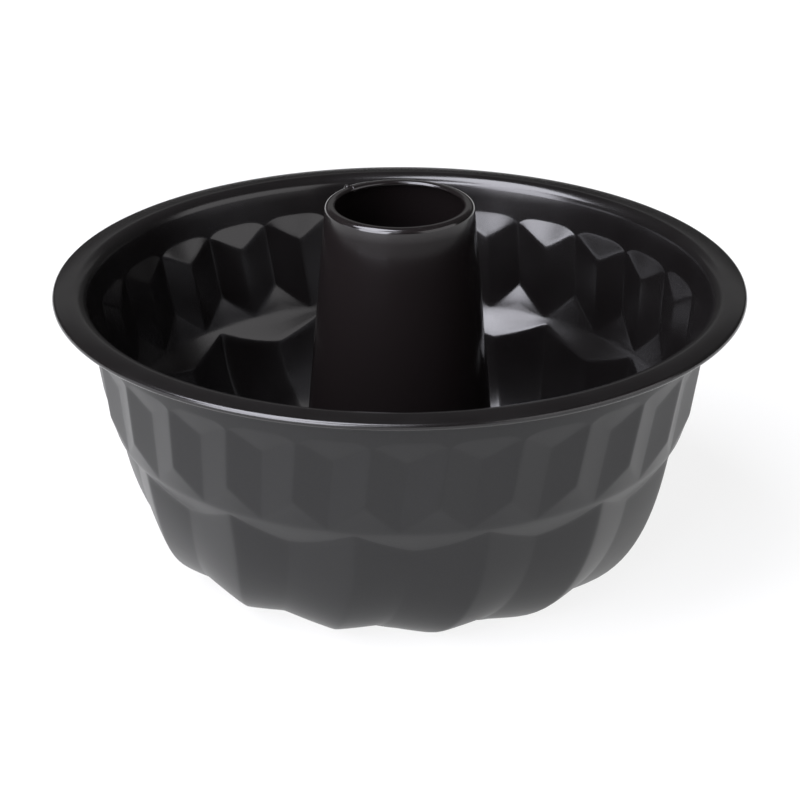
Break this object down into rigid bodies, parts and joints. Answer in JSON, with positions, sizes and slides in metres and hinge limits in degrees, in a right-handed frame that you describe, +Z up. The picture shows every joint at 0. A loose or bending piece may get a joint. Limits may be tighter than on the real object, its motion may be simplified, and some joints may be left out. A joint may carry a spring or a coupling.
{
  "type": "fluted tube pan",
  "caption": "Round cake pan of pressed non-stick steel, with swirled flutes in stepped tiers, a rolled rim and a tall tapering centre tube open at both ends.",
  "frame": {"origin": "on the pan's axis, at the level of the flat ring it stands on", "axes": "+Z up along the axis; the pictured side faces -Y"},
  "size_m": [0.2206, 0.2206, 0.1192],
  "materials": {
    "bowl_coat": "satin charcoal coat outside, glossy black non-stick coat inside and over the rim",
    "tube_coat": "glossy black non-stick coat"
  },
  "bodies": {
    "root": {"fluted_bowl": "bowl_coat", "centre_tube": "tube_coat"}
  },
  "joints": []
}
